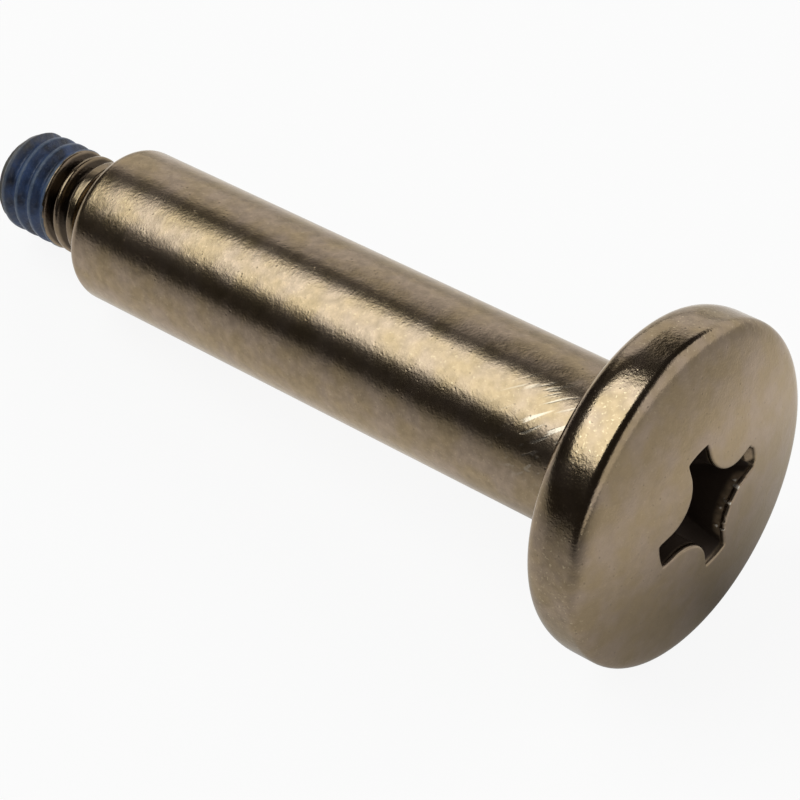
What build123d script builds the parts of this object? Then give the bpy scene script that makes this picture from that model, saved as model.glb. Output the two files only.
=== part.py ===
from build123d import *
from math import asin, atan2, cos, hypot, radians, sin, sqrt, tan
import os

# Shoulder screw: domed head with a cross recess, plain shoulder, short threaded end
# with a coat of locking compound. The origin is the centre of the head's bearing
# face, the head points to +X, and the screw lies as it rests on a flat table.

# Head
head_diameter = 12.6
head_height = 3.0
rim_height = 2.2
rim_radius = 0.42
heel_radius = 0.66

# Cross recess, its width measured across the wings where they break through the dome
recess_width = 5.16
wing_width = 1.04
wing_draft = 2.0
web_radius = 1.5
flank_angle = 26.5
core_diameter = 2.4
point_angle = 28.0
recess_turn = 6.8

# Shoulder
shoulder_diameter = 6.0
shoulder_length = 24.4
shoulder_end_radius = 0.55

# Threaded end, modelled as the cylinder over its crests
thread_diameter = 3.84
thread_length = 5.35
tip_chamfer = 0.75

# Coat of locking compound, its ends measured from the end of the shoulder
coat_start = 2.35
coat_end = 5.0
coat_skin = 0.04

# Lying on a table, the heel of the head and the end of the shoulder touch it
head_radius = head_diameter / 2
shoulder_radius = shoulder_diameter / 2
contact_run = shoulder_length - shoulder_end_radius + heel_radius
contact_drop = (head_radius - heel_radius) - (shoulder_radius - shoulder_end_radius)
contact_span = hypot(contact_run, contact_drop)
rest_angle = atan2(contact_drop, contact_run)
rest_angle += asin((heel_radius - shoulder_end_radius) / contact_span)

head_direction = Vector(cos(rest_angle), 0, sin(rest_angle))
screw_axis = Axis((0, 0, 0), head_direction)
profile_plane = Plane(origin=(0, 0, 0), x_dir=head_direction, z_dir=(0, -1, 0))

# Stations along the axis, from the bearing face towards the head
shoulder_end = -shoulder_length
tip = shoulder_end - thread_length
thread_radius = thread_diameter / 2

# Dome of the head, and where the wings of the recess break through it
dome_rise = head_height - rim_height
dome_radius = (head_radius**2 + dome_rise**2) / (2 * dome_rise)
mouth_sag = dome_radius - sqrt(dome_radius**2 - (recess_width / 2) ** 2)
mouth = head_height - mouth_sag

# Depth of the recess: its flanks narrow down to the core, and a cone closes the core
flank_slope = tan(radians(flank_angle))
core_floor = mouth - (recess_width - core_diameter) / 2 / flank_slope
recess_point = core_floor - core_diameter / 2 * tan(radians(point_angle))
crown_radius = recess_width / 2 + mouth_sag * flank_slope


def cross_section(station):
    """Plane square to the axis at a station, facing the head."""
    return Plane(origin=head_direction * station, x_dir=(0, 1, 0), z_dir=head_direction)


# Punch that strikes the recess: a cross with rounded webs, trimmed to the punch's cone
with BuildPart() as punch:
    with BuildSketch(cross_section(head_height)) as cross:
        with Locations(Rotation(0, 0, recess_turn)):
            Rectangle(head_diameter, wing_width)
            Rectangle(wing_width, head_diameter)
        fillet(cross.vertices().group_by(SortBy.DISTANCE)[0], web_radius)
    extrude(amount=recess_point - head_height, taper=wing_draft)
    with BuildSketch(profile_plane):
        with BuildLine():
            Polyline(
                (recess_point, 0),
                (core_floor, core_diameter / 2),
                (head_height, crown_radius),
                (head_height, 0),
                close=True,
            )
        make_face()
    revolve(axis=screw_axis, mode=Mode.INTERSECT)

with BuildPart() as screw:
    with BuildSketch(profile_plane) as profile:
        with BuildLine():
            Polyline(
                (head_height, 0),
                (tip, 0),
                (tip, thread_radius - tip_chamfer),
                (tip + tip_chamfer, thread_radius),
                (shoulder_end, thread_radius),
                (shoulder_end, shoulder_radius),
                (0, shoulder_radius),
                (0, head_radius),
                (rim_height, head_radius),
            )
            RadiusArc((rim_height, head_radius), (head_height, 0), dome_radius)
        make_face()
        rounded_corners = {
            (rim_height, head_radius): rim_radius,
            (0, head_radius): heel_radius,
            (shoulder_end, shoulder_radius): shoulder_end_radius,
        }
        for corner, radius in rounded_corners.items():
            fillet(profile.vertices().sort_by_distance(corner)[0], radius)
    revolve(axis=screw_axis)
    add(punch.part, mode=Mode.SUBTRACT)

# The coat lies over the thread and the tip chamfer
coat_radius = thread_radius + coat_skin
coat_length = coat_end - coat_start
with BuildPart() as thread_lock_patch:
    with BuildSketch(profile_plane):
        with BuildLine():
            Polyline(
                (tip, 0),
                (tip, coat_radius - tip_chamfer),
                (tip + tip_chamfer, coat_radius),
                (shoulder_end, coat_radius),
                (shoulder_end, 0),
                close=True,
            )
        make_face()
        with Locations((shoulder_end - coat_start, 0)):
            Rectangle(coat_length, coat_radius, align=(Align.MAX, Align.MIN), mode=Mode.INTERSECT)
    revolve(axis=screw_axis)
    add(screw.part, mode=Mode.SUBTRACT)

os.makedirs("parts", exist_ok=True)
screw.part.label = "screw"
export_step(screw.part, "parts/screw.step")
thread_lock_patch.part.label = "thread_lock_patch"
export_step(thread_lock_patch.part, "parts/thread_lock_patch.step")
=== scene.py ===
from math import asin, atan2, cos, hypot, pi, radians, sin, sqrt, tan

import bmesh
import bpy
from mathutils import Matrix, Vector


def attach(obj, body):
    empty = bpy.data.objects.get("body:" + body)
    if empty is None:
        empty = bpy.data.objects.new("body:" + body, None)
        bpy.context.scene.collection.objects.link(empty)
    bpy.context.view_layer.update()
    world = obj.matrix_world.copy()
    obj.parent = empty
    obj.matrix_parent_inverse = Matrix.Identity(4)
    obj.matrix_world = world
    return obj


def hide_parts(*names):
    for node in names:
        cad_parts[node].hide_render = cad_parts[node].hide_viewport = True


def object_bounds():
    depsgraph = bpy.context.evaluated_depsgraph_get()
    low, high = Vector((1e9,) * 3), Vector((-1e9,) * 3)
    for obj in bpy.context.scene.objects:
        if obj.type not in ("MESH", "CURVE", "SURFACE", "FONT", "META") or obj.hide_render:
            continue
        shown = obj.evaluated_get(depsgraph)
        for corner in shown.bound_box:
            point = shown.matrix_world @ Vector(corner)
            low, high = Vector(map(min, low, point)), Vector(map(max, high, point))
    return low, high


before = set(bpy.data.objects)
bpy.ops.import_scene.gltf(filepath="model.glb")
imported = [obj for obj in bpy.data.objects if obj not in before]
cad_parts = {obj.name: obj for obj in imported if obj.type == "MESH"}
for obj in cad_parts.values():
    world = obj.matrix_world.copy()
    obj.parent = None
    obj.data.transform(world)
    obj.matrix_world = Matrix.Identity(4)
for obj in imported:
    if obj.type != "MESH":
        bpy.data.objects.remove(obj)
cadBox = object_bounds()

mm = 0.001

# Screw, in millimetres. Stations run along the axis from the bearing face, positive towards the head.
size = {
    "headRadius": 6.3,
    "headHeight": 3.0,
    "rimHeight": 2.2,
    "rimCorner": (0.38, 0.62),  # along the axis and inwards, as worn in the barrel
    "rimFullness": 1.1,  # 1 is a parabola, more is squarer
    "heelRadius": 0.66,  # the solid's, on which it rests
    "heelCorner": (1.0, 0.52),  # along the axis and inwards
    "underHeadRidge": 0.14,
    "shoulderRadius": 3.0,
    "shoulderLength": 24.4,
    "shoulderEndRadius": 0.55,
    "threadRadius": 1.92,
    "threadLength": 5.35,
    "tipChamfer": 0.75,
    "undercut": 0.34,
    "undercutRise": (0.62, 0.82),  # from the shoulder's end, where it comes up to the thread
    "undercutRidge": 0.1,
    "columns": 352,  # faces around the axis, a multiple of eight for the recess
}

# Lying on the table, the heel of the head and the end of the shoulder touch it
contactRun = size["shoulderLength"] - size["shoulderEndRadius"] + size["heelRadius"]
contactDrop = size["headRadius"] - size["heelRadius"] - size["shoulderRadius"] + size["shoulderEndRadius"]
restAngle = atan2(contactDrop, contactRun)
restAngle += asin((size["heelRadius"] - size["shoulderEndRadius"]) / hypot(contactRun, contactDrop))
axisToFrame = Matrix.Rotation(-restAngle, 4, "Y")  # axis coordinates: x to the head, y across, z up

domeRise = size["headHeight"] - size["rimHeight"]
domeRadius = (size["headRadius"] ** 2 + domeRise**2) / (2 * domeRise)
domeCentre = size["headHeight"] - domeRadius


def domeStation(radius):
    return domeCentre + sqrt(domeRadius**2 - radius**2)


def smoothStep(t):
    t = min(max(t, 0.0), 1.0)
    return t * t * (3 - 2 * t)


def addObject(name, mesh):
    obj = bpy.data.objects.new(name, mesh)
    bpy.context.scene.collection.objects.link(obj)
    return obj


# Node helpers
def addNode(tree, kind, x, y, **settings):
    node = tree.nodes.new(kind)
    node.location = (x, y)
    for key, value in settings.items():
        setattr(node, key, value)
    return node


# A socket takes a link or a plain value
def feed(tree, value, socket):
    if isinstance(value, bpy.types.NodeSocket):
        tree.links.new(value, socket)
    else:
        socket.default_value = value


def addMath(tree, operation, x, y, *values, clamp=False):
    node = addNode(tree, "ShaderNodeMath", x, y, operation=operation, use_clamp=clamp)
    for socket, value in zip(node.inputs, values):
        feed(tree, value, socket)
    return node.outputs[0]


def addVector(tree, x, y, *values):
    node = addNode(tree, "ShaderNodeCombineXYZ", x, y)
    for socket, value in zip(node.inputs, values):
        feed(tree, value, socket)
    return node.outputs[0]


def addNoise(tree, vector, scale, detail, x, y, roughness=0.5):
    node = addNode(tree, "ShaderNodeTexNoise", x, y)
    feed(tree, vector, node.inputs["Vector"])
    feed(tree, scale, node.inputs["Scale"])
    feed(tree, detail, node.inputs["Detail"])
    feed(tree, roughness, node.inputs["Roughness"])
    return node.outputs[0]


def storeValue(tree, geometry, name, value, x, y):
    node = addNode(tree, "GeometryNodeStoreNamedAttribute", x, y, data_type="FLOAT", domain="POINT")
    node.inputs["Name"].default_value = name
    feed(tree, geometry, node.inputs["Geometry"])
    feed(tree, value, node.inputs["Value"])
    return node.outputs[0]


# Lathe that turns a profile, cuts the thread and lays the coat
latheInputs = (
    "Rest Angle", "Thread Start", "Thread Radius", "Pitch", "Groove Depth", "Crest Width", "Root Width",
    "Crest Round", "Root Round", "First Groove", "Run Out Lead", "Run Out Turns", "Run Out Round",
    "Fill", "Skin", "Sink", "Edge Start", "Edge Lean", "Lean Angle", "Edge End", "Edge Blur",
    "Edge Wander", "Wander Scale", "Wander Stretch",
)


# Share of the groove's depth at each point, 0 on the crest and 1 in the root
def addGroove(tree, given, along, turn):
    halfTurn = addMath(tree, "SUBTRACT", -1300, -500, turn, 0.5)
    helix = addMath(tree, "SUBTRACT", -700, 0, along, given["First Groove"])
    helix = addMath(tree, "DIVIDE", -500, 0, helix, given["Pitch"])
    helix = addMath(tree, "SUBTRACT", -300, 0, helix, halfTurn)
    groove = addMath(tree, "ROUND", -100, -100, helix)
    apart = addMath(tree, "SUBTRACT", -50, 0, helix, groove)
    apart = addMath(tree, "ABSOLUTE", 100, 0, apart)
    apart = addMath(tree, "MULTIPLY", 250, 0, apart, given["Pitch"])

    # The groove grows out of the neck over its first turn
    runOut = addMath(tree, "ADD", 100, -200, groove, halfTurn)
    runOut = addMath(tree, "ADD", 200, -260, runOut, given["Run Out Lead"])
    runOut = addMath(tree, "DIVIDE", 250, -200, runOut, given["Run Out Turns"])
    runOut = addMath(tree, "MAXIMUM", 330, -200, runOut, 0.0)
    runOut = addMath(tree, "SMOOTH_MIN", 400, -200, runOut, 1.0, given["Run Out Round"])

    openHalf = addMath(tree, "SUBTRACT", 100, 200, given["Pitch"], given["Crest Width"])
    openHalf = addMath(tree, "MULTIPLY", 250, 200, openHalf, 0.5)
    rootHalf = addMath(tree, "MULTIPLY", 250, 350, given["Root Width"], 0.5)
    flank = addMath(tree, "SUBTRACT", 400, 300, openHalf, rootHalf)
    inside = addMath(tree, "SUBTRACT", 400, 100, openHalf, apart)
    inside = addMath(tree, "DIVIDE", 550, 100, inside, flank)
    inside = addMath(tree, "SMOOTH_MAX", 620, 100, inside, 0.0, given["Crest Round"])
    inside = addMath(tree, "SMOOTH_MIN", 700, 100, inside, 1.0, given["Root Round"])
    return addMath(tree, "MULTIPLY", 850, 0, inside, runOut)


# Height of the coat over the steel. It fills part of the groove and dips into the steel where it ends.
def addCoat(tree, given, along, angle, outerSide, cutDepth):
    across = addMath(tree, "SINE", -1100, -650, angle)
    upwards = addMath(tree, "COSINE", -1100, -800, angle)
    stretched = addMath(tree, "MULTIPLY", -1100, -500, along, given["Wander Stretch"])
    around = addVector(tree, -900, -700, across, upwards, stretched)
    shift = addNoise(tree, around, given["Wander Scale"], 3, -500, -600)
    shift = addMath(tree, "SUBTRACT", -300, -600, shift, 0.5)
    shift = addMath(tree, "MULTIPLY", -100, -600, shift, given["Edge Wander"])
    lean = addMath(tree, "ADD", -1100, -900, angle, given["Lean Angle"])
    lean = addMath(tree, "SINE", -900, -900, lean)
    leaning = addMath(tree, "MULTIPLY_ADD", -100, -800, lean, given["Edge Lean"], shift)
    near = addMath(tree, "SUBTRACT", 0, -500, along, leaning)
    near = addMath(tree, "SUBTRACT", 100, -500, near, given["Edge Start"])
    far = addMath(tree, "SUBTRACT", 0, -650, along, shift)
    far = addMath(tree, "SUBTRACT", 100, -650, given["Edge End"], far)
    reach = addMath(tree, "MINIMUM", 250, -550, near, far)
    reach = addMath(tree, "DIVIDE", 400, -550, reach, given["Edge Blur"], clamp=True)
    cover = addMath(tree, "MULTIPLY", 550, -500, reach, outerSide)
    thick = addMath(tree, "MULTIPLY", 1150, -300, cutDepth, given["Fill"])
    thick = addMath(tree, "ADD", 1200, -400, thick, given["Skin"])
    thick = addMath(tree, "ADD", 1300, -300, thick, given["Sink"])
    thick = addMath(tree, "MULTIPLY", 1450, -300, thick, cover)
    return addMath(tree, "SUBTRACT", 1600, -300, thick, given["Sink"])


def buildLatheTree():
    tree = bpy.data.node_groups.new("turnedThread", "GeometryNodeTree")
    face = tree.interface
    face.new_socket("Profile", in_out="INPUT", socket_type="NodeSocketGeometry")
    face.new_socket("Columns", in_out="INPUT", socket_type="NodeSocketInt")
    for name in latheInputs:
        face.new_socket(name, in_out="INPUT", socket_type="NodeSocketFloat")
    face.new_socket("Material", in_out="INPUT", socket_type="NodeSocketMaterial")
    face.new_socket("Mesh", in_out="OUTPUT", socket_type="NodeSocketGeometry")
    given = addNode(tree, "NodeGroupInput", -2200, 0).outputs

    # One row of the grid for each point of the profile
    domain = addNode(tree, "GeometryNodeAttributeDomainSize", -1900, 300, component="MESH")
    feed(tree, given["Profile"], domain.inputs["Geometry"])
    seam = addMath(tree, "ADD", -1900, 100, given["Columns"], 1)
    grid = addNode(tree, "GeometryNodeMeshGrid", -1600, 300)
    feed(tree, domain.outputs["Point Count"], grid.inputs["Vertices X"])
    feed(tree, seam, grid.inputs["Vertices Y"])
    index = addNode(tree, "GeometryNodeInputIndex", -1900, -100).outputs[0]
    row = addMath(tree, "DIVIDE", -1700, 0, index, seam)
    row = addMath(tree, "FLOOR", -1500, 0, row)
    column = addMath(tree, "FLOORED_MODULO", -1700, -150, index, seam)
    place = addNode(tree, "GeometryNodeInputPosition", -1700, -300).outputs[0]
    sample = addNode(tree, "GeometryNodeSampleIndex", -1300, 0, data_type="FLOAT_VECTOR", clamp=True)
    feed(tree, given["Profile"], sample.inputs["Geometry"])
    feed(tree, place, sample.inputs["Value"])
    feed(tree, row, sample.inputs["Index"])
    point = addNode(tree, "ShaderNodeSeparateXYZ", -1100, 0)
    feed(tree, sample.outputs["Value"], point.inputs[0])
    station, radius, outerSide = point.outputs

    # Past the thread's start, the groove is cut where it lies below the profile
    turn = addMath(tree, "DIVIDE", -1500, -500, column, given["Columns"])
    along = addMath(tree, "SUBTRACT", -900, 0, given["Thread Start"], station)
    cut = addGroove(tree, given, along, turn)
    cutDepth = addMath(tree, "MULTIPLY", 1000, 0, cut, given["Groove Depth"])
    bottom = addMath(tree, "SUBTRACT", 1150, 0, given["Thread Radius"], cutDepth)
    steel = addNode(tree, "GeometryNodeSwitch", 1450, 0, input_type="FLOAT")
    feed(tree, addMath(tree, "GREATER_THAN", 850, -200, along, 0.0), steel.inputs["Switch"])
    feed(tree, radius, steel.inputs["False"])
    feed(tree, addMath(tree, "MINIMUM", 1300, 0, radius, bottom), steel.inputs["True"])
    angle = addMath(tree, "MULTIPLY", -1300, -650, turn, 2 * pi)
    stand = addCoat(tree, given, along, angle, outerSide, cutDepth)
    whole = addMath(tree, "ADD", 1750, 0, steel.outputs[0], stand)
    whole = addMath(tree, "MAXIMUM", 1850, 0, whole, 0.0)

    # Turned round the axis, closed at the seam and laid on the table
    across = addMath(tree, "MULTIPLY", 1950, -200, whole, addMath(tree, "SINE", 1800, -500, angle))
    upwards = addMath(tree, "MULTIPLY", 1950, -350, whole, addMath(tree, "COSINE", 1800, -650, angle))
    shaped = addNode(tree, "GeometryNodeSetPosition", 2300, 200)
    feed(tree, grid.outputs["Mesh"], shaped.inputs["Geometry"])
    feed(tree, addVector(tree, 2100, -200, station, across, upwards), shaped.inputs["Position"])
    stored = storeValue(tree, shaped.outputs[0], "grooveDepth", cut, 2500, 200)
    alongInMm = addMath(tree, "MULTIPLY", 2400, 500, along, 1 / mm)
    stored = storeValue(tree, stored, "alongThread", alongInMm, 2600, 400)
    closed = addNode(tree, "GeometryNodeMergeByDistance", 2700, 200)
    closed.inputs["Distance"].default_value = 0.0005 * mm
    feed(tree, stored, closed.inputs["Geometry"])
    tilt = addMath(tree, "MULTIPLY", 2550, -100, given["Rest Angle"], -1)
    laid = addNode(tree, "GeometryNodeTransform", 2900, 200)
    feed(tree, closed.outputs[0], laid.inputs["Geometry"])
    feed(tree, addVector(tree, 2700, -100, 0.0, tilt, 0.0), laid.inputs["Rotation"])
    real = addNode(tree, "GeometryNodeRealizeInstances", 3100, 200)
    feed(tree, laid.outputs[0], real.inputs["Geometry"])
    painted = addNode(tree, "GeometryNodeSetMaterial", 3300, 200)
    feed(tree, real.outputs[0], painted.inputs["Geometry"])
    feed(tree, given["Material"], painted.inputs["Material"])
    result = addNode(tree, "NodeGroupOutput", 3500, 200)
    feed(tree, painted.outputs[0], result.inputs[0])
    return tree


# A profile holds the station and radius of each point, and 1 or 0 for the coat's outer side or not
def turnOnLathe(name, tree, profile, inputs):
    mesh = bpy.data.meshes.new(name + "Profile")
    points = [(station * mm, radius * mm, side) for station, radius, side in profile]
    mesh.from_pydata(points, [(i, i + 1) for i in range(len(profile) - 1)], [])
    blank = addObject(name + "Blank", mesh)
    lathe = blank.modifiers.new("lathe", "NODES")
    lathe.node_group = tree
    for item in tree.interface.items_tree:
        if item.in_out == "INPUT" and item.name in inputs:
            lathe[item.identifier] = inputs[item.name]
    graph = bpy.context.evaluated_depsgraph_get()
    turned = bpy.data.meshes.new_from_object(blank.evaluated_get(graph))
    blank.modifiers.remove(lathe)
    bpy.data.objects.remove(blank)
    return turned


# Face of the head: dome, lip and cross recess
recess = {
    "width": 5.16,  # across the wings where they break through the dome
    "wingWidth": 1.04,
    "wingDraft": radians(2),
    "webRadius": 1.5,
    "flankAngle": radians(26.5),
    "coreRadius": 1.2,
    "pointAngle": radians(28),
    "cornerBlend": 0.16,
    "turn": radians(6.8),
    "lip": 0.09,
    "lipShade": 0.07,  # painted shade on the lip, counted as depth when the recess's painted shade is laid on
    "domeRows": 24,
    "domeSpacing": 1.25,  # more than 1 draws the rows towards the lip
    "lipRows": 4,
    "fineRows": 22,
    "fineDepth": 0.9,
    "wallRows": 12,
    "pointRows": 4,
}

# Marks of a worn punch: burrs on one web, and a chipped end on the wing beside it
burrs = {
    "from": 0.66,  # along the mouth from the chipped wing
    "to": 3.7,
    "pitch": 0.36,
    "height": 0.1,
    "rows": ((-0.04, 0.0), (0.1, 0.4)),  # depth and shift of each row
    "drop": 0.26,
    "wander": 0.16,  # in pitches
    "toothWidth": 0.15,
    "toothHeights": (0.55, 0.6),  # middle and swing
    "ragged": 0.6,  # depth of the torn wall they sit on
    "raggedLip": 0.05,
    "raggedBareness": 0.45,
}
chip = {
    "half": 0.4,
    "length": 0.12,
    "depth": 0.24,
    "bareness": 0.4,
    "cleared": 0.25,  # depth to which the recess's painted shade is held off it
}


# Distance from the axis to the recess wall, at an angle from the nearest wing
def crossRadius(angle, depth):
    draft = depth * tan(recess["wingDraft"])
    half = recess["wingWidth"] / 2 - draft
    web = recess["webRadius"] + draft
    centre = recess["wingWidth"] / 2 + recess["webRadius"]
    reach = centre * (cos(angle) + sin(angle))
    onWeb = reach - sqrt(max(reach**2 - 2 * centre**2 + web**2, 0.0))
    onSide = half / max(sin(angle), 1e-4)
    cross = onSide if onSide * cos(angle) > centre else onWeb
    cone = recess["width"] / 2 - depth * tan(recess["flankAngle"])
    blend = recess["cornerBlend"] * min(1.0, cone / recess["width"] * 2)
    overlap = max(blend - abs(cross - cone), 0.0) / blend
    return min(cross, cone) - overlap**2 * blend / 4


def wingAngle(angle):
    quarter = (angle + pi / 4) % (pi / 2) - pi / 4
    return abs(quarter)


# How far a place along the mouth lies inside the burred stretch, in pitches
def burredStretch(along):
    return min(along - burrs["from"], burrs["to"] - along) / burrs["pitch"]


# From 0 to 1 on the burrs, along the mouth and down the wall
def burrMark(along, depth):
    inside = burredStretch(along)
    if inside <= 0:
        return 0.0
    middle, swing = burrs["toothHeights"]
    mark = 0.0
    for top, shift in burrs["rows"]:
        below = depth - top
        if below <= 0 or below > burrs["drop"]:
            continue
        turns = (along - burrs["from"]) / burrs["pitch"] + shift
        turns += burrs["wander"] * sin(turns * 2.1 + top * 20)
        uneven = max(0.0, middle + swing * sin(turns * 3.7 + top * 9))
        tooth = max(0.0, cos(2 * pi * turns) + burrs["toothWidth"]) * uneven
        mark = max(mark, tooth * (1 - below / burrs["drop"]))
    return min(mark, 1.0) * min(1.0, inside * 2)


def raggedMark(along, depth):
    fromLip = smoothStep(depth / burrs["raggedLip"])
    toBottom = 1 - smoothStep(depth / burrs["ragged"])
    return smoothStep(burredStretch(along)) * fromLip * toBottom


def chipMark(along):
    return max(0.0, 1 - (along / chip["half"]) ** 4)


def wallRadius(angle, along, depth):
    radius = crossRadius(wingAngle(angle), depth)
    radius -= burrs["height"] * burrMark(along, depth)
    radius += chip["length"] * chipMark(along) * max(0.0, 1 - depth / chip["depth"])
    return radius


# How torn the recess wall is, 0 where it is plated and 1 on the burrs, whose light tone is a painted glint
def wallTornAndGlint(along, depth):
    ragged = burrs["raggedBareness"] * raggedMark(along, depth)
    chipped = chip["bareness"] * chipMark(along) * (1 - smoothStep(depth / chip["depth"] - 0.4))
    return max(burrMark(along, depth), ragged, chipped)


# Angles at even steps along the recess's mouth, the same in every eighth, and the step
def outlineAngles(columns):
    steps = 1200
    angles = [pi / 4 * k / steps for k in range(steps + 1)]
    spots = [(crossRadius(a, 0) * cos(a), crossRadius(a, 0) * sin(a)) for a in angles]
    run = [0.0]
    for a, b in zip(spots, spots[1:]):
        run.append(run[-1] + hypot(b[0] - a[0], b[1] - a[1]))
    perEighth = columns // 8
    step = run[-1] / perEighth
    eighth = []
    for k in range(perEighth):
        i = next(j for j, length in enumerate(run) if length >= step * k)
        eighth.append(angles[i])
    eighth.append(pi / 4)
    full = []
    for quarter in range(4):
        start = quarter * pi / 2
        full += [start + a for a in eighth[:-1]]
        full += [start + pi / 2 - a for a in reversed(eighth[1:])]
    return full, step


# Rings from the rim over the dome and the lip to the recess's point. Each place in a ring holds its
# station, its two distances from the axis, its depth for the recess's painted shade, and how torn it is or
# how strong a painted glint it carries.
def headFaceRings(rimStart):
    columns = size["columns"]
    lip = recess["lip"]
    angles, step = outlineAngles(columns)
    runs = [step * (k - columns // 4) for k in range(columns)]  # from the wing that is chipped
    mouth = domeStation(recess["width"] / 2)
    floorDepth = (recess["width"] / 2 - recess["coreRadius"]) / tan(recess["flankAngle"])
    floor = mouth - floorDepth
    outline = [wallRadius(a, run, 0) * Vector((sin(a), cos(a))) for a, run in zip(angles, runs)]
    calm = [crossRadius(wingAngle(a), 0) * Vector((sin(a), cos(a))) for a in angles]
    normals = []
    for k in range(columns):
        tangent = calm[(k + 1) % columns] - calm[k - 1]
        normals.append(Vector((-tangent.y, tangent.x)).normalized())

    rings = []
    for j in range(recess["domeRows"] + 1):
        t = 1 - j / recess["domeRows"]
        ring = []
        for k in range(columns):
            even = 2 * pi * k / columns
            out = Vector((sin(even), cos(even))) * rimStart
            spot = (outline[k] + normals[k] * lip).lerp(out, t ** recess["domeSpacing"])
            ring.append((domeStation(spot.length), spot.x, spot.y, 0.0, 0.0))
        rings.append(ring)

    for j in range(1, recess["lipRows"] + 1):
        share = j / recess["lipRows"]
        ring = []
        for k in range(columns):
            spot = outline[k] + normals[k] * lip * (1 - sin(pi / 2 * share))
            station = domeStation(spot.length) - lip * (1 - cos(pi / 2 * share))
            ring.append((station, spot.x, spot.y, recess["lipShade"] * share, burrMark(runs[k], 0)))
        rings.append(ring)

    top = rings[-1]
    depths = [recess["fineDepth"] * j / recess["fineRows"] for j in range(1, recess["fineRows"] + 1)]
    rest = floorDepth - recess["fineDepth"]
    depths += [recess["fineDepth"] + rest * j / recess["wallRows"] for j in range(1, recess["wallRows"] + 1)]
    for depth in depths:
        t = depth / floorDepth
        ring = []
        for k, a in enumerate(angles):
            station = top[k][0] + (floor - top[k][0]) * t
            below = mouth - station - lip * (1 - t)
            radius = wallRadius(a, runs[k], max(below, 0.0))
            # Depth as the recess's painted shade takes it, held off the chipped wing's end
            recessShade = max(below - chip["cleared"] * chipMark(runs[k]), 0.0)
            ring.append((station, radius * sin(a), radius * cos(a), recessShade, wallTornAndGlint(runs[k], below)))
        rings.append(ring)

    pointDepth = recess["coreRadius"] * tan(recess["pointAngle"])
    last = rings[-1]
    for j in range(1, recess["pointRows"]):
        t = j / recess["pointRows"]
        station = floor - pointDepth * t
        rings.append([(station, spot[1] * (1 - t), spot[2] * (1 - t), floorDepth, 0.0) for spot in last])
    return rings, (floor - pointDepth, 0.0, 0.0), floorDepth


def makeHeadFace(rimStart):
    columns = size["columns"]
    rings, point, floorDepth = headFaceRings(rimStart)
    body = bmesh.new()
    shadeLayer = body.verts.layers.float.new("recessDepth")
    tornAndGlintLayer = body.verts.layers.float.new("tornAndGlint")
    grid = []
    for j, ring in enumerate(rings):  # the recess's turn grows from nothing at the rim
        share = smoothStep(min(j / recess["domeRows"], 1.0))
        turned = axisToFrame @ Matrix.Rotation(recess["turn"] * share, 4, "X")
        line = []
        for spot in ring:
            corner = body.verts.new(turned @ (Vector(spot[:3]) * mm))
            corner[shadeLayer] = spot[3]
            corner[tornAndGlintLayer] = spot[4]
            line.append(corner)
        grid.append(line)
    for upper, lower in zip(grid, grid[1:]):
        for k in range(columns):
            following = (k + 1) % columns
            body.faces.new((upper[k], upper[following], lower[following], lower[k]))
    centre = body.verts.new(axisToFrame @ (Vector(point) * mm))
    centre[shadeLayer] = floorDepth
    for k in range(columns):
        body.faces.new((grid[-1][k], grid[-1][(k + 1) % columns], centre))
    return body


# Turned surface of the screw: rows on each stretch of its profile, and where some of them lie
profileRows = {
    "rimCorner": 16,
    "heelCorner": 18,
    "bearingFace": (0.5, 1.2, 1.9, 2.2),  # mm in from the heel
    "ridge": 4,
    "shoulder": 16,
    "shoulderEnd": 12,
    "neckTop": 0.3,  # mm above the undercut
    "threadFrom": 0.12,  # mm from the shoulder's end
    "thread": 116,
    "tipFace": 4,
}


# Points on a profile arc, angles from the axis towards the outside
def arcPoints(centre, radius, start, end, count):
    steps = [start + (end - start) * k / count for k in range(count + 1)]
    return [(centre[0] + radius * cos(a), centre[1] + radius * sin(a)) for a in steps]


# Small rounded ridge that stands beside a wall, from its top back to the wall
def ridgePoints(wall, surface, radius):
    centre = (wall - radius, surface + radius)
    return arcPoints(centre, radius, pi / 2, 0, profileRows["ridge"])


# Conic from the dome into the rim
def rimPoints():
    along, inwards = size["rimCorner"]
    head = size["headRadius"]
    start = (domeStation(head - inwards), head - inwards)
    corner = (size["rimHeight"], head)
    end = (size["rimHeight"] - along, head)
    points = []
    for k in range(profileRows["rimCorner"] + 1):
        t = k / profileRows["rimCorner"]
        weights = ((1 - t) ** 2, 2 * size["rimFullness"] * t * (1 - t), t**2)
        place = [sum(w * p[i] for w, p in zip(weights, (start, corner, end))) / sum(weights) for i in (0, 1)]
        points.append(tuple(place))
    return points


# Neck and thread down to the chamfered tip
def threadPoints():
    start = -size["shoulderLength"] - profileRows["threadFrom"]
    tip = -size["shoulderLength"] - size["threadLength"]
    riseStart, riseEnd = size["undercutRise"]
    points = []
    for k in range(1, profileRows["thread"] + 1):
        station = start + (tip - start) * k / profileRows["thread"]
        past = max(0.0, tip + size["tipChamfer"] - station)
        along = -size["shoulderLength"] - station
        waist = size["undercut"] * (1 - smoothStep((along - riseStart) / (riseEnd - riseStart)))
        points.append((station, size["threadRadius"] - past - waist))
    tipRadius = size["threadRadius"] - size["tipChamfer"]
    rows = profileRows["tipFace"]
    return points + [(tip, tipRadius * (1 - k / rows)) for k in range(1, rows + 1)]


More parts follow.
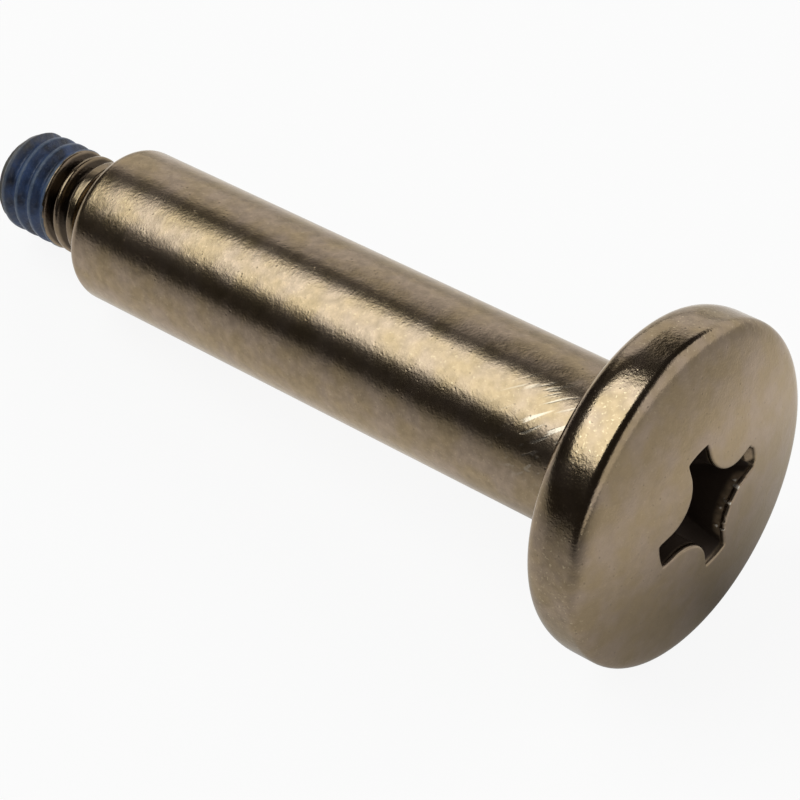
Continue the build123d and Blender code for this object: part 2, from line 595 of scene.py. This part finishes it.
# Station and radius from the edge of the dome round the head and down to the tip
def outerProfile():
    heelAlong, heelIn = size["heelCorner"]
    head, shoulder, end = size["headRadius"], size["shoulderRadius"], size["shoulderEndRadius"]
    points = rimPoints()
    for k in range(profileRows["heelCorner"] + 1):
        turn = pi / 2 * k / profileRows["heelCorner"]
        points.append((heelAlong * (1 - sin(turn)), head - heelIn * (1 - cos(turn))))
    points += [(0, head - heelIn - step) for step in profileRows["bearingFace"]]
    points += ridgePoints(0, shoulder, size["underHeadRidge"])
    length = size["shoulderLength"] - end
    rows = profileRows["shoulder"]
    points += [(-length * k / rows, shoulder) for k in range(1, rows)]
    points += arcPoints((-length, shoulder - end), end, pi / 2, pi, profileRows["shoulderEnd"])
    neck = size["threadRadius"] - size["undercut"]
    points += [(-size["shoulderLength"], neck + profileRows["neckTop"])]
    points += ridgePoints(-size["shoulderLength"], neck, size["undercutRidge"])
    return points + threadPoints()


thread = {
    "Thread Start": -size["shoulderLength"] * mm,
    "Thread Radius": size["threadRadius"] * mm,
    "Pitch": 0.7 * mm,
    "Groove Depth": 0.41 * mm,
    "Crest Width": 0.15 * mm,
    "Root Width": 0.1 * mm,
    "Crest Round": 0.12,
    "Root Round": 0.3,
    "First Groove": 1.13 * mm,
    "Run Out Lead": 0.32,  # turns
    "Run Out Turns": 0.9,
    "Run Out Round": 0.2,
    "Columns": size["columns"],
    "Rest Angle": restAngle,
}

# Coat of dried locking compound
lockCoat = {
    "Fill": 0.42,
    "Skin": 0.03 * mm,
    "Sink": 0.04 * mm,
    "Edge Start": 2.33 * mm,
    "Edge Lean": 0.17 * mm,
    "Lean Angle": radians(37),
    "Edge End": 5.2 * mm,
    "Edge Blur": 0.2 * mm,
    "Edge Wander": 0.25 * mm,
    "Wander Scale": 3.4,
    "Wander Stretch": 1.4 / mm,
}
coatRows = {"from": 1.6, "rows": 84, "shortOfTip": 0.02}  # mm from the shoulder's end


# Its outer side out to the tip, and its inner side back again
def coatProfile():
    tip = size["shoulderLength"] + size["threadLength"]
    start = size["shoulderLength"] + coatRows["from"]
    stop = tip - coatRows["shortOfTip"]
    points = []
    for k in range(coatRows["rows"] + 1):
        station = start + (stop - start) * k / coatRows["rows"]
        past = max(0.0, station - tip + size["tipChamfer"])
        points.append((-station, size["threadRadius"] - past))
    return [(s, r, 1) for s, r in points] + [(s, r, 0) for s, r in reversed(points)]


# Shader helpers
def newGroup(name, inputs, outputs):
    tree = bpy.data.node_groups.new(name, "ShaderNodeTree")
    for label, kind, value in inputs:
        socket = tree.interface.new_socket(label, in_out="INPUT", socket_type=kind)
        if value is not None:
            socket.default_value = value
    for label in outputs:
        tree.interface.new_socket(label, in_out="OUTPUT", socket_type="NodeSocketFloat")
    return tree, addNode(tree, "NodeGroupInput", -1200, 0), addNode(tree, "NodeGroupOutput", 900, 0)


def newMaterial(name):
    material = bpy.data.materials.new(name)
    material.use_nodes = True
    tree = material.node_tree
    tree.nodes.clear()
    out = addNode(tree, "ShaderNodeOutputMaterial", 1100, 0)
    shader = addNode(tree, "ShaderNodeBsdfPrincipled", 800, 0)
    feed(tree, shader.outputs[0], out.inputs["Surface"])
    return material, tree, shader


def mixColours(tree, factor, low, high, x, y, blend="MIX"):
    node = addNode(tree, "ShaderNodeMix", x, y, data_type="RGBA", blend_type=blend)
    sockets = (node.inputs["Factor"], node.inputs["A"], node.inputs["B"])
    for socket, value in zip(sockets, (factor, low, high)):
        feed(tree, (*value, 1) if isinstance(value, tuple) else value, socket)
    return node.outputs["Result"]


def rampBetween(tree, factor, low, high, span, x, y):
    node = addNode(tree, "ShaderNodeValToRGB", x, y)
    for element, place, colour in zip(node.color_ramp.elements, span, (low, high)):
        element.position = place
        element.color = (*colour, 1)
    feed(tree, factor, node.inputs[0])
    return node.outputs[0]


# 0 at the span's first value, 1 at its second, smooth between
def rise(tree, value, span, x, y):
    node = addNode(tree, "ShaderNodeMapRange", x, y, interpolation_type="SMOOTHSTEP")
    node.inputs["From Min"].default_value, node.inputs["From Max"].default_value = span
    feed(tree, value, node.inputs["Value"])
    return node.outputs[0]


# The span's first value where the factor is 0, its second where it is 1
def between(tree, factor, span, x, y):
    return addMath(tree, "MULTIPLY_ADD", x, y, factor, span[1] - span[0], span[0])


def readAttribute(tree, name, x, y):
    return addNode(tree, "ShaderNodeAttribute", x, y, attribute_name=name).outputs["Fac"]


def addBump(tree, height, relief, shader):
    node = addNode(tree, "ShaderNodeBump", 300, -300)
    node.inputs["Strength"].default_value = 1.0
    node.inputs["Distance"].default_value = relief * mm
    feed(tree, height, node.inputs["Height"])
    feed(tree, node.outputs[0], shader.inputs["Normal"])


def addGrain(tree, grain, where, settings, x, y):
    node = addNode(tree, "ShaderNodeGroup", x, y, node_tree=grain)
    feed(tree, where, node.inputs["Vector"])
    for name, value in settings.items():
        node.inputs[name].default_value = value
    return node.outputs


# Orange-peel, specks and pits of a barrel-tumbled surface
grainShape = {
    "mediumScale": 0.3,  # of the fine grain's scale
    "broadScale": 0.09,
    "cellScale": 0.45,
    "pitSize": 0.22,
    "pitSharpness": 6.0,
    "pitDepth": 0.25,
    "pitsAbove": 0.55,
    "specksAbove": 0.6,
    "speckSharpness": 6.0,
}


def buildTumbledGrain():
    shape = grainShape
    inputs = [("Vector", "NodeSocketVector", None)]
    for name, value in (("Grain Size", 0.12), ("Fine", 0.3), ("Medium", 1.0), ("Broad", 1.2)):
        inputs.append((name, "NodeSocketFloat", value))
    tree, given, out = newGroup("tumbledGrain", inputs, ("Height", "Pits", "Specks", "Cloud", "Mottle"))
    vector = given.outputs["Vector"]
    scale = addMath(tree, "DIVIDE", -1000, 200, 1 / mm, given.outputs["Grain Size"])
    mediumScale = addMath(tree, "MULTIPLY", -800, 250, scale, shape["mediumScale"])
    broadScale = addMath(tree, "MULTIPLY", -800, 0, scale, shape["broadScale"])
    fine = addNoise(tree, vector, scale, 2, -600, 500, 0.6)
    medium = addNoise(tree, vector, mediumScale, 2, -600, 250, 0.55)
    broad = addNoise(tree, vector, broadScale, 2, -600, 0, 0.5)
    cells = addNode(tree, "ShaderNodeTexVoronoi", -600, -300)
    feed(tree, vector, cells.inputs["Vector"])
    feed(tree, addMath(tree, "MULTIPLY", -800, -300, scale, shape["cellScale"]), cells.inputs["Scale"])
    pits = addMath(tree, "SUBTRACT", -300, -300, shape["pitSize"], cells.outputs["Distance"])
    pits = addMath(tree, "MULTIPLY", -100, -300, pits, shape["pitSharpness"], clamp=True)
    chosen = addMath(tree, "GREATER_THAN", -100, -150, medium, shape["pitsAbove"])
    pits = addMath(tree, "MULTIPLY", 100, -300, pits, chosen)
    specks = addMath(tree, "SUBTRACT", -300, 650, fine, shape["specksAbove"])
    specks = addMath(tree, "MULTIPLY", -100, 650, specks, shape["speckSharpness"], clamp=True)
    height = addMath(tree, "MULTIPLY", -300, 450, fine, given.outputs["Fine"])
    height = addMath(tree, "MULTIPLY_ADD", -100, 350, medium, given.outputs["Medium"], height)
    height = addMath(tree, "MULTIPLY_ADD", 100, 250, broad, given.outputs["Broad"], height)
    sunk = addMath(tree, "MULTIPLY", 250, 0, pits, shape["pitDepth"])
    height = addMath(tree, "SUBTRACT", 300, 200, height, sunk)
    results = {"Height": height, "Pits": pits, "Specks": specks, "Cloud": broad, "Mottle": medium}
    for name, value in results.items():
        feed(tree, value, out.inputs[name])
    return tree


# Object coordinates, station along the axis and distance from it, the last two in millimetres
def axisPlace(tree, x, y):
    where = addNode(tree, "ShaderNodeTexCoord", x, y).outputs["Object"]
    laid = addNode(tree, "ShaderNodeMapping", x + 200, y - 200, vector_type="POINT")
    laid.inputs["Rotation"].default_value = (0, restAngle, 0)
    laid.inputs["Scale"].default_value = (1 / mm, 1 / mm, 1 / mm)
    feed(tree, where, laid.inputs["Vector"])
    parts = addNode(tree, "ShaderNodeSeparateXYZ", x + 400, y - 200)
    feed(tree, laid.outputs[0], parts.inputs[0])
    radius = addNode(tree, "ShaderNodeVectorMath", x + 800, y - 300, operation="LENGTH")
    feed(tree, addVector(tree, x + 600, y - 300, 0.0, parts.outputs[1], parts.outputs[2]), radius.inputs[0])
    return where, parts.outputs[0], radius.outputs["Value"]


# Plated steel
plating = {
    "pinkGrey": (0.325, 0.250, 0.182),
    "olive": (0.305, 0.230, 0.142),
    "toneSpan": (0.38, 0.62),
    "speck": (0.58, 0.48, 0.32),
    # dark of the pits, and of the painted shade on the thread
    "pitsAndShade": (0.040, 0.031, 0.024),
    # painted shade in the cross recess
    "recess": (0.052, 0.036, 0.026),
    "torn": (0.26, 0.185, 0.115),
    # light metal of the scuffs, and the painted glints on the burrs
    "bareAndGlint": (0.68, 0.62, 0.53),
    "grain": {"Grain Size": 0.11, "Fine": 0.32, "Medium": 0.26, "Broad": 0.75},  # size in mm
    "relief": 0.018,  # mm
    "face": (1.9, 2.4),  # stations in mm between which the shank's finish turns to the face's
    "rim": (5.7, 6.1),  # mm from the axis
    "mottle": (0.72, 0.22),  # on the shank and on the face
    "glitter": (0.35, 0.85),  # elsewhere and on the rim
    "faceGlitter": 0.4,  # share of it left on the face
    "pitting": 0.3,
    # painted shade in the thread's grooves, over a darker tone on its crests
    "threadShadeDepths": (0.04, 0.3),  # share of the groove's depth
    "threadShadeSpan": (0.32, 0.92),  # on the thread's crests and in its grooves
    "threadShadeEdge": 0.3,  # mm from the shoulder's end
    "recessShadeDepths": (0.0, 0.14),  # mm into the recess
    "tornSpan": (0.08, 0.4),
    "tornAmount": 1.6,
    "glintSpan": (0.5, 0.8),
    "roughness": (0.19, 0.27),  # over the grain's clouds
    "rimPolish": -0.06,
    "recessRoughness": 0.2,
    "dull": -0.6,  # off the metallic share, in the recess and where it is torn
    "edgeTint": (0.87, 0.84, 0.79),  # of what it mirrors at a grazing angle
}

# Streaks where the shank was gripped beside the head
scuffs = {
    "centre": (-2.9, -1.9, 1.9),  # mm
    "reach": (2.3, 0.69),  # mm, from faint to full
    "direction": (0.69, 0.57, 0.44),
    "width": 0.1,
    "stretch": 16,
    "lines": (0.58, 0.68),
    "brightness": 0.5,
    "depth": -0.2,
}


def addScuffs(tree, where, x, y):
    offset = addNode(tree, "ShaderNodeVectorMath", x, y, operation="DISTANCE")
    feed(tree, where, offset.inputs[0])
    offset.inputs[1].default_value = Vector(scuffs["centre"]) * mm
    near = rise(tree, offset.outputs["Value"], [reach * mm for reach in scuffs["reach"]], x + 200, y)
    along = addNode(tree, "ShaderNodeMapping", x, y - 200, vector_type="TEXTURE")
    along.inputs["Rotation"].default_value = Vector(scuffs["direction"]).to_track_quat("X", "Z").to_euler()
    along.inputs["Scale"].default_value = (scuffs["stretch"], 1, 1)
    feed(tree, where, along.inputs["Vector"])
    lines = addNoise(tree, along.outputs[0], 1 / mm / scuffs["width"] / 2, 1, x + 200, y - 200)
    lines = rise(tree, lines, scuffs["lines"], x + 400, y - 200)
    return addMath(tree, "MULTIPLY", x + 600, y, near, lines)


def makePlatedSteel(grain):
    material, tree, shader = newMaterial("darkPlatedSteel")
    where, station, radius = axisPlace(tree, -1900, 0)
    surface = addGrain(tree, grain, where, plating["grain"], -700, 0)
    onFace = rise(tree, station, plating["face"], -700, 600)
    onRim = rise(tree, radius, plating["rim"], -500, 800)

    # Clouds, mottle, glitter and pits
    cloud = surface["Cloud"]
    tone = rampBetween(tree, cloud, plating["olive"], plating["pinkGrey"], plating["toneSpan"], -300, 300)
    mottled = addMath(tree, "SUBTRACT", -500, 500, surface["Mottle"], 0.5)
    spread = between(tree, onFace, plating["mottle"], -500, 600)
    mottled = addMath(tree, "MULTIPLY_ADD", -300, 500, mottled, spread, 1.0)
    tone = mixColours(tree, 1.0, tone, mottled, -100, 600, "MULTIPLY")
    glitter = between(tree, onRim, plating["glitter"], -300, 700)
    onFaceToo = between(tree, onFace, (1.0, plating["faceGlitter"]), -300, 900)
    glitter = addMath(tree, "MULTIPLY", -200, 700, glitter, onFaceToo)
    glitter = addMath(tree, "MULTIPLY", -100, 450, surface["Specks"], glitter)
    tone = mixColours(tree, glitter, tone, plating["speck"], 50, 300)
    pitted = addMath(tree, "MULTIPLY", -100, 100, surface["Pits"], plating["pitting"])
    tone = mixColours(tree, pitted, tone, plating["pitsAndShade"], 200, 250)

    # Scuffs on the shank, and on the thread's uncoated stretch a darker tone with painted shade in its
    # grooves
    scuffed = addScuffs(tree, where, -900, 1100)
    brightened = addMath(tree, "MULTIPLY", 200, 900, scuffed, scuffs["brightness"])
    tone = mixColours(tree, brightened, tone, plating["bareAndGlint"], 300, 500)
    groove = readAttribute(tree, "grooveDepth", -600, 500)
    shoulderEnd = -size["shoulderLength"]
    onThread = rise(tree, station, (shoulderEnd, shoulderEnd - plating["threadShadeEdge"]), -100, 1100)
    threadShade = rise(tree, groove, plating["threadShadeDepths"], 0, 450)
    threadShade = between(tree, threadShade, plating["threadShadeSpan"], 200, 450)
    threadShade = addMath(tree, "MULTIPLY", 350, 450, threadShade, onThread)
    tone = mixColours(tree, threadShade, tone, plating["pitsAndShade"], 400, 300)

    # Painted shade in the recess, darker with depth, the metal that the punch tore, and painted glints on
    # its burrs
    recessShade = rise(tree, readAttribute(tree, "recessDepth", -600, 700), plating["recessShadeDepths"], 200, 650)
    tone = mixColours(tree, recessShade, tone, plating["recess"], 600, 300)
    bareAndGlint = readAttribute(tree, "tornAndGlint", -600, 900)
    torn = rise(tree, bareAndGlint, plating["tornSpan"], 200, 1100)
    torn = addMath(tree, "MULTIPLY", 350, 1100, torn, surface["Mottle"])
    tornTone = addMath(tree, "MULTIPLY", 500, 1100, torn, plating["tornAmount"], clamp=True)
    tone = mixColours(tree, tornTone, tone, plating["torn"], 700, 500)
    # Painted glints where the burrs are marked most
    paintedGlint = rise(tree, bareAndGlint, plating["glintSpan"], 400, 800)
    tone = mixColours(tree, paintedGlint, tone, plating["bareAndGlint"], 850, 400)
    feed(tree, tone, shader.inputs["Base Color"])

    rough = between(tree, cloud, plating["roughness"], 100, -100)
    rough = addMath(tree, "MULTIPLY_ADD", 200, -100, onRim, plating["rimPolish"], rough)
    rough = addMath(tree, "MULTIPLY_ADD", 300, -100, recessShade, plating["recessRoughness"], rough)
    feed(tree, rough, shader.inputs["Roughness"])
    metal = addMath(tree, "MULTIPLY_ADD", 500, -50, recessShade, plating["dull"], 1.0)
    metal = addMath(tree, "MULTIPLY_ADD", 650, -50, torn, plating["dull"], metal, clamp=True)
    feed(tree, metal, shader.inputs["Metallic"])
    shader.inputs["Specular Tint"].default_value = (*plating["edgeTint"], 1)
    scraped = addMath(tree, "MULTIPLY_ADD", 100, -300, scuffed, scuffs["depth"], surface["Height"])
    addBump(tree, scraped, plating["relief"], shader)
    return material


# Dried locking compound
compound = {
    "navy": (0.006, 0.011, 0.028),
    "blue": (0.034, 0.068, 0.168),
    "toneSpan": (0.34, 0.66),
    "crest": (0.070, 0.100, 0.155),
    "tip": (0.085, 0.079, 0.072),
    "grain": {"Grain Size": 0.07, "Fine": 0.8, "Medium": 0.9, "Broad": 1.2},  # size in mm
    "specks": 0.75,
    "crestDepth": 0.12,  # share of the groove's depth
    "crestSharpness": 12.0,
    "tipScatter": 0.9,  # mm
    "tipSpan": (-0.75, 0.1),  # mm from the tip
    "roughness": 0.42,
    "specular": 0.5,
    "relief": 0.03,  # mm
}


def makeLockCompound(grain):
    material, tree, shader = newMaterial("driedLockCompound")
    where = addNode(tree, "ShaderNodeTexCoord", -900, 0).outputs["Object"]
    surface = addGrain(tree, grain, where, compound["grain"], -600, 0)
    cloud = surface["Cloud"]
    tone = rampBetween(tree, cloud, compound["navy"], compound["blue"], compound["toneSpan"], -300, 300)
    speckled = addMath(tree, "MULTIPLY", -300, 150, surface["Specks"], compound["specks"])
    tone = mixColours(tree, speckled, tone, compound["crest"], -50, 250)
    groove = readAttribute(tree, "grooveDepth", -600, 400)
    crest = addMath(tree, "SUBTRACT", -300, 500, compound["crestDepth"], groove)
    broken = addMath(tree, "MULTIPLY", -300, 600, surface["Mottle"], compound["crestSharpness"])
    crest = addMath(tree, "MULTIPLY", -150, 500, crest, broken, clamp=True)
    tone = mixColours(tree, crest, tone, compound["crest"], 100, 300)
    along = readAttribute(tree, "alongThread", -600, 700)
    along = addMath(tree, "MULTIPLY_ADD", -450, 700, surface["Mottle"], compound["tipScatter"], along)
    nearTip = rise(tree, along, [size["threadLength"] + reach for reach in compound["tipSpan"]], -300, 700)
    tone = mixColours(tree, nearTip, tone, compound["tip"], 300, 300)
    feed(tree, tone, shader.inputs["Base Color"])
    shader.inputs["Roughness"].default_value = compound["roughness"]
    shader.inputs["Specular IOR Level"].default_value = compound["specular"]
    addBump(tree, surface["Height"], compound["relief"], shader)
    return material


print("finishes")
tumbledGrain = buildTumbledGrain()
platedSteel = makePlatedSteel(tumbledGrain)
lockCompound = makeLockCompound(tumbledGrain)

print("screw")
latheTree = buildLatheTree()
profile = outerProfile()
shank = turnOnLathe("shank", latheTree, [(s, r, 0) for s, r in profile], {**thread, "Material": platedSteel})
body = makeHeadFace(profile[0][1])
body.from_mesh(shank)
bmesh.ops.remove_doubles(body, verts=body.verts, dist=0.0005 * mm)
bmesh.ops.recalc_face_normals(body, faces=body.faces)
screwMesh = bpy.data.meshes.new("platedScrew")
body.to_mesh(screwMesh)
openEdges = sum(1 for edge in body.edges if not edge.is_manifold)
print("screw faces", len(body.faces), "open edges", openEdges)
body.free()
screwMesh.materials.clear()
screwMesh.materials.append(platedSteel)
screwMesh.polygons.foreach_set("use_smooth", [True] * len(screwMesh.polygons))
screwMesh.polygons.foreach_set("material_index", [0] * len(screwMesh.polygons))
screwPiece = addObject("platedScrew", screwMesh)

print("locking compound")
coatMesh = turnOnLathe("coat", latheTree, coatProfile(), {**thread, **lockCoat, "Material": lockCompound})
coatMesh.polygons.foreach_set("use_smooth", [True] * len(coatMesh.polygons))
coatPiece = addObject("driedThreadLock", coatMesh)

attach(screwPiece, "root")
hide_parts("screw")
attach(coatPiece, "root")
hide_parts("thread_lock_patch")

# Table, light and camera
print("studio")
tableLevel = cadBox[0][2]
paper = {
    "size": 4.0,
    "colour": (0.9, 0.9, 0.9),
    "roughness": 0.9,
    "specular": 0.1,
    "seenGlow": 0.9,  # the page's own white as the camera sees it
    "mirroredGlow": 0.9,  # and as the metal mirrors it
}

# Painted light and shade on the table's glow where the metal mirrors it, distances in millimetres
mirroredTable = {
    "frontHalf": 16,  # in front of the screw, where it has fallen to half
    "left": (-180, -60),
    "right": (9, 26),
    "rightDarker": 0.4,
    "back": (12, 30),
    "backDarker": 0.3,
    "contact": (2.9, 1.6),  # middle of the painted shadow under the head
    "contactGlow": 0.15,
    "contactRise": 0.083,  # per millimetre from the contact
    "most": 1.2,
}

sky = {
    "page": (1.0, 1.0, 1.0),
    "ambient": (1.2, 0.2),  # where the sky is open, and behind the cards
    "card": (0.030, 0.027, 0.026),
    "cards": (  # dark cards that the metal mirrors: direction, and cosines of the soft edge
        ((-0.2, -0.6, 0.77), (0.20, 0.42)),
        ((-0.246, 0.66, 0.709), (0.903, 0.940)),
        ((-0.99, -0.10, 0.10), (0.80, 0.90)),
    ),
}

softbox = {
    "direction": (-0.503, -0.285, 0.816),
    "distance": 0.7,
    "offset": -8,  # mm along the table
    "size": (0.54, 0.71),
    "power": 2.55,
    "tint": (0.96, 1.0, 0.97),
}

lens = {
    "length": 135.69,
    "sensor": 36,
    "place": (37.41, -56.39, 75.11),  # mm
    "forward": (-0.44293, 0.52199, -0.72897),
    "nearest": 0.005,
}


# Rays from the camera, and rays mirrored or let through by the object
def seenRays(tree, x, y):
    rays = addNode(tree, "ShaderNodeLightPath", x, y).outputs
    mirrored = addMath(tree, "MAXIMUM", x + 200, y, rays["Is Glossy Ray"], rays["Is Transmission Ray"])
    return rays["Is Camera Ray"], mirrored


# 1 up to the span, less by the given share past it
def addShade(tree, span, darker, value, x, y):
    shade = rise(tree, value, [edge * mm for edge in span], x, y)
    return addMath(tree, "MULTIPLY_ADD", x + 200, y, shade, -darker, 1.0)


# The table's glow as the metal mirrors it: painted shade in front, to the sides and back, and a painted
# shadow round the head
def addMirroredTable(tree):
    table = mirroredTable
    where = addNode(tree, "ShaderNodeTexCoord", -600, 300).outputs["Object"]
    across = addNode(tree, "ShaderNodeSeparateXYZ", -400, 300)
    feed(tree, where, across.inputs[0])
    front = addMath(tree, "MULTIPLY", -300, 200, across.outputs["Y"], -1 / (table["frontHalf"] * mm))
    front = addMath(tree, "MAXIMUM", -200, 200, front, 0.0)
    front = addMath(tree, "ADD", -100, 200, front, 1.0)
    front = addMath(tree, "DIVIDE", 0, 200, 1.0, front)
    back = addShade(tree, table["back"], table["backDarker"], across.outputs["Y"], -200, 300)
    left = rise(tree, across.outputs["X"], [edge * mm for edge in table["left"]], -200, 0)
    right = addShade(tree, table["right"], table["rightDarker"], across.outputs["X"], -200, -400)
    apart = addNode(tree, "ShaderNodeVectorMath", -200, -200, operation="DISTANCE")
    feed(tree, where, apart.inputs[0])
    contactX, contactY = table["contact"]
    apart.inputs[1].default_value = (contactX * mm, contactY * mm, tableLevel)
    clear = addMath(tree, "MULTIPLY_ADD", 0, -200, apart.outputs["Value"], table["contactRise"] / mm,
                    table["contactGlow"])
    clear = addMath(tree, "MINIMUM", 100, -200, clear, table["most"])
    paintedTableShade = addMath(tree, "MULTIPLY", 200, -200, clear, right)
    for number, share in enumerate((left, front, back)):
        paintedTableShade = addMath(tree, "MULTIPLY", 300 + 100 * number, -100, paintedTableShade, share)
    return paintedTableShade


def makePaper():
    material, tree, shader = newMaterial("palePaper")
    shader.inputs["Base Color"].default_value = (*paper["colour"], 1)
    shader.inputs["Roughness"].default_value = paper["roughness"]
    shader.inputs["Specular IOR Level"].default_value = paper["specular"]
    fromCamera, mirrored = seenRays(tree, -300, 500)
    glow = addNode(tree, "ShaderNodeEmission", 800, 300)
    strength = addMath(tree, "MULTIPLY_ADD", 700, 300, mirrored, addMirroredTable(tree), fromCamera)
    feed(tree, strength, glow.inputs["Strength"])
    share = addMath(tree, "MULTIPLY", 200, 600, fromCamera, paper["seenGlow"])
    share = addMath(tree, "MULTIPLY_ADD", 400, 500, mirrored, paper["mirroredGlow"], share)
    mixer = addNode(tree, "ShaderNodeMixShader", 950, 200)
    for value, socket in zip((share, shader.outputs[0], glow.outputs[0]), mixer.inputs):
        feed(tree, value, socket)
    feed(tree, mixer.outputs[0], tree.nodes["Material Output"].inputs["Surface"])
    return material


def makeSky():
    world = bpy.data.worlds.new("studio")
    world.use_nodes = True
    tree = world.node_tree
    tree.nodes.clear()
    fromCamera, mirrored = seenRays(tree, -800, 400)
    heading = addNode(tree, "ShaderNodeTexCoord", -1200, 0).outputs["Generated"]
    covered = 0.0
    for direction, edge in sky["cards"]:
        towards = addNode(tree, "ShaderNodeVectorMath", -1000, 0, operation="DOT_PRODUCT")
        feed(tree, heading, towards.inputs[0])
        towards.inputs[1].default_value = Vector(direction).normalized()
        card = rise(tree, towards.outputs["Value"], edge, -800, 0)
        covered = addMath(tree, "MAXIMUM", -600, 0, covered, card)
    openSky, behindCards = sky["ambient"]
    inMetal = mixColours(tree, covered, sky["page"], sky["card"], -300, 0)
    ambient = mixColours(tree, covered, (openSky,) * 3, (behindCards,) * 3, -300, -300)
    colour = mixColours(tree, mirrored, ambient, inMetal, 0, 0)
    colour = mixColours(tree, fromCamera, colour, sky["page"], 200, 0)
    backdrop = addNode(tree, "ShaderNodeBackground", 400, 0)
    feed(tree, colour, backdrop.inputs["Color"])
    worldOut = addNode(tree, "ShaderNodeOutputWorld", 600, 0)
    feed(tree, backdrop.outputs[0], worldOut.inputs["Surface"])
    return world


# Oval softbox, its shorter side along the screw
def addSoftbox():
    lamp = bpy.data.lights.new("keySoftbox", "AREA")
    lamp.shape = "ELLIPSE"
    lamp.color = softbox["tint"]
    lamp.size, lamp.size_y = softbox["size"]
    lamp.energy = softbox["power"]
    lampObject = addObject("keySoftbox", lamp)
    toLamp = Vector(softbox["direction"]).normalized()
    lampObject.location = toLamp * softbox["distance"] + Vector((softbox["offset"] * mm, 0, 0))
    alongScrew = axisToFrame @ Vector((1, 0, 0))
    sideways = toLamp.cross(alongScrew).normalized()
    lampAxes = Matrix((sideways.cross(toLamp), sideways, toLamp)).transposed()
    lampObject.rotation_euler = lampAxes.to_euler()


def addCamera():
    cameraData = bpy.data.cameras.new("camera")
    cameraData.lens = lens["length"]
    cameraData.sensor_width = lens["sensor"]
    cameraData.clip_start = lens["nearest"]
    viewer = addObject("camera", cameraData)
    viewer.location = Vector(lens["place"]) * mm
    viewer.rotation_euler = Vector(lens["forward"]).to_track_quat("-Z", "Y").to_euler()
    return viewer


half = paper["size"] / 2
corners = [(-half, -half), (half, -half), (half, half), (-half, half)]
tableMesh = bpy.data.meshes.new("table")
tableMesh.from_pydata([(x, y, tableLevel) for x, y in corners], [], [(0, 1, 2, 3)])
tableMesh.materials.append(makePaper())
addObject("table", tableMesh)
addSoftbox()
bpy.context.scene.world = makeSky()
bpy.context.scene.camera = addCamera()
bpy.context.scene.view_settings.view_transform = "Standard"
